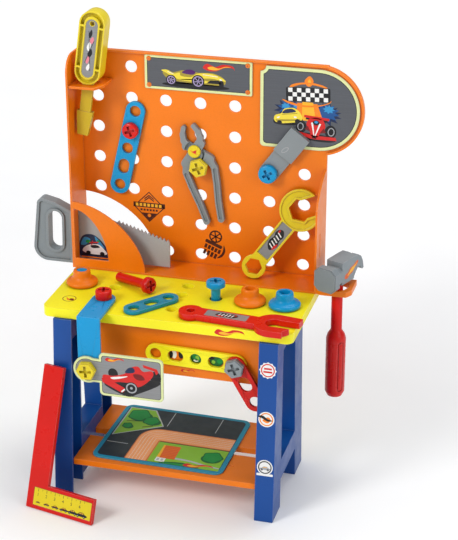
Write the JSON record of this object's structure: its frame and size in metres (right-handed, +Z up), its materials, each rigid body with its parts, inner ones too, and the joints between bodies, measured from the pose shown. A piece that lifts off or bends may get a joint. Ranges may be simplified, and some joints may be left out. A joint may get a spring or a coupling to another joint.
{
  "type": "toy tool bench",
  "caption": "Toy workbench with a pegboard, hanging tools, big turning bolts, building strips, signs and a shelf with a play mat.",
  "frame": {"origin": "middle of the object's own footprint, on the floor", "axes": "+Z up, +X to the right as a child at the bench sees it, +Y from the child towards the tool board"},
  "size_m": [0.5442, 0.3462, 0.7399],
  "materials": {
    "blue_plastic": "moulded, satin",
    "yellow_plastic": "moulded, soft gloss",
    "orange_plastic": "moulded, soft gloss",
    "cyan_plastic": "moulded, soft gloss",
    "teal_plastic": "moulded, soft gloss",
    "red_plastic": "moulded, soft gloss",
    "grey_plastic": "moulded, satin",
    "tool_yellow": "moulded, soft gloss",
    "printed_sign": "printed film on moulded plate",
    "printed_mat": "printed sheet",
    "screw_steel": "plated"
  },
  "bodies": {
    "bench": {"left_side_frame": "blue_plastic", "right_side_frame": "blue_plastic", "worktop": "yellow_plastic", "back_board": "orange_plastic", "saw_pocket": "orange_plastic", "screwdriver_shelf": "orange_plastic", "hammer_shelf": "orange_plastic", "apron": "orange_plastic", "front_slat": "orange_plastic", "rear_slat": "orange_plastic", "play_mat": "printed_mat", "banner_sign": "printed_sign", "round_sign": "printed_sign", "banner_screws": "orange_plastic", "worktop_screws": "screw_steel", "bolt_nuts": "cyan_plastic"},
    "screwdriver": {"screwdriver_handle": "tool_yellow", "screwdriver_shank": "tool_yellow"},
    "hammer": {"hammer_head": "grey_plastic", "hammer_handle": "red_plastic"},
    "saw": {"saw_blade": "grey_plastic", "saw_handle": "grey_plastic"},
    "pliers": {"pliers_left": "grey_plastic", "pliers_rivet": "tool_yellow"},
    "pliers_half": {"pliers_right": "grey_plastic"},
    "hanging_bolt": {"pliers_bolt": "tool_yellow"},
    "blue_strip": {"blue_strip": "cyan_plastic"},
    "strip_bolt": {"strip_bolt": "red_plastic"},
    "stepped_plate": {"stepped_plate": "grey_plastic"},
    "plate_bolt": {"plate_bolt": "cyan_plastic"},
    "combination_wrench": {"combination_wrench": "tool_yellow"},
    "left_nut": {"left_flanged_nut": "orange_plastic", "left_nut_bolt": "cyan_plastic"},
    "bracket": {"angle_bracket": "cyan_plastic", "sign_nut": "cyan_plastic"},
    "bracket_bolt": {"bracket_bolt": "red_plastic"},
    "loose_bolt": {"loose_bolt": "red_plastic"},
    "teal_link": {"teal_link": "teal_plastic"},
    "standing_bolt": {"standing_bolt": "cyan_plastic"},
    "middle_nut": {"middle_flanged_nut": "orange_plastic"},
    "right_nut": {"right_flanged_nut": "cyan_plastic"},
    "open_end_wrench": {"open_end_wrench": "red_plastic"},
    "small_sign": {"small_sign": "printed_sign"},
    "sign_bolt": {"sign_bolt": "tool_yellow"},
    "yellow_strip": {"yellow_strip": "yellow_plastic"},
    "red_link": {"red_link": "red_plastic"},
    "apron_bolt": {"apron_bolt": "grey_plastic"},
    "try_square": {"try_square": "red_plastic", "square_scale": "tool_yellow"}
  },
  "joints": [
    {"name": "screwdriver_lift", "type": "slide", "parent": "bench", "child": "screwdriver", "axis": [0.1392, 0, 0.9903], "range_m": [0, 0.1]},
    {"name": "hammer_lift", "type": "slide", "parent": "bench", "child": "hammer", "axis": [0, 0, 1], "range_m": [0, 0.15]},
    {"name": "saw_pull", "type": "slide", "parent": "bench", "child": "saw", "axis": [-1, 0, 0], "range_m": [0, 0.17]},
    {"name": "pliers_swing", "type": "hinge", "parent": "bench", "child": "pliers", "pos_m": [0.00278, 0.1541, 0.4875], "axis": [0, -1, 0], "range_deg": [-10, 10]},
    {"name": "pliers_jaw", "type": "hinge", "parent": "pliers", "child": "pliers_half", "pos_m": [-0.00452, 0.1541, 0.5134], "axis": [0, -1, 0], "range_deg": [-6, 6]},
    {"name": "hanging_bolt_turn", "type": "hinge", "parent": "bench", "child": "hanging_bolt", "pos_m": [0.00278, 0.1541, 0.4875], "axis": [0, -1, 0], "continuous": true},
    {"name": "blue_strip_swing", "type": "hinge", "parent": "bench", "child": "blue_strip", "pos_m": [-0.11082, 0.1561, 0.539], "axis": [0, -1, 0], "range_deg": [-30, 45]},
    {"name": "strip_bolt_turn", "type": "hinge", "parent": "bench", "child": "strip_bolt", "pos_m": [-0.11082, 0.1561, 0.539], "axis": [0, -1, 0], "continuous": true},
    {"name": "stepped_plate_swing", "type": "hinge", "parent": "bench", "child": "stepped_plate", "pos_m": [0.11638, 0.1541, 0.4875], "axis": [0, -1, 0], "range_deg": [-20, 30]},
    {"name": "plate_bolt_turn", "type": "hinge", "parent": "bench", "child": "plate_bolt", "pos_m": [0.11638, 0.1541, 0.4875], "axis": [0, -1, 0], "continuous": true},
    {"name": "combination_wrench_lift", "type": "slide", "parent": "bench", "child": "combination_wrench", "axis": [0, -0.7071, 0.7071], "range_m": [0, 0.09]},
    {"name": "left_nut_lift", "type": "slide", "parent": "bench", "child": "left_nut", "axis": [0, 0, 1], "range_m": [0, 0.05]},
    {"name": "bracket_lift", "type": "slide", "parent": "bench", "child": "bracket", "axis": [0, 0, 1], "range_m": [0, 0.1]},
    {"name": "bracket_bolt_lift", "type": "slide", "parent": "bracket", "child": "bracket_bolt", "axis": [0, 0, 1], "range_m": [0, 0.04]},
    {"name": "loose_bolt_lift", "type": "slide", "parent": "bench", "child": "loose_bolt", "axis": [0, 0, 1], "range_m": [0, 0.06]},
    {"name": "teal_link_lift", "type": "slide", "parent": "bench", "child": "teal_link", "axis": [0, 0, 1], "range_m": [0, 0.06]},
    {"name": "standing_bolt_lift", "type": "slide", "parent": "bench", "child": "standing_bolt", "axis": [0, 0, 1], "range_m": [0, 0.05]},
    {"name": "middle_nut_lift", "type": "slide", "parent": "bench", "child": "middle_nut", "axis": [0, 0, 1], "range_m": [0, 0.05]},
    {"name": "right_nut_lift", "type": "slide", "parent": "bench", "child": "right_nut", "axis": [0, 0, 1], "range_m": [0, 0.05]},
    {"name": "open_end_wrench_lift", "type": "slide", "parent": "bench", "child": "open_end_wrench", "axis": [0, 0, 1], "range_m": [0, 0.06]},
    {"name": "small_sign_swing", "type": "hinge", "parent": "bracket", "child": "small_sign", "pos_m": [-0.10812, -0.0939, 0.231], "axis": [0, -1, 0], "range_deg": [-15, 75]},
    {"name": "sign_bolt_turn", "type": "hinge", "parent": "bracket", "child": "sign_bolt", "pos_m": [-0.10812, -0.0939, 0.231], "axis": [0, -1, 0], "continuous": true},
    {"name": "yellow_strip_swing", "type": "hinge", "parent": "bench", "child": "yellow_strip", "pos_m": [0.11718, -0.0439, 0.245], "axis": [0, -1, 0], "range_deg": [-8, 60]},
    {"name": "red_link_swing", "type": "hinge", "parent": "bench", "child": "red_link", "pos_m": [0.11718, -0.0509, 0.245], "axis": [0, -1, 0], "range_deg": [-100, 10]},
    {"name": "apron_bolt_turn", "type": "hinge", "parent": "bench", "child": "apron_bolt", "pos_m": [0.11718, -0.0439, 0.245], "axis": [0, -1, 0], "continuous": true},
    {"name": "try_square_pull", "type": "slide", "parent": "bench", "child": "try_square", "axis": [0, -1, 0], "range_m": [0, 0.1]}
  ]
}
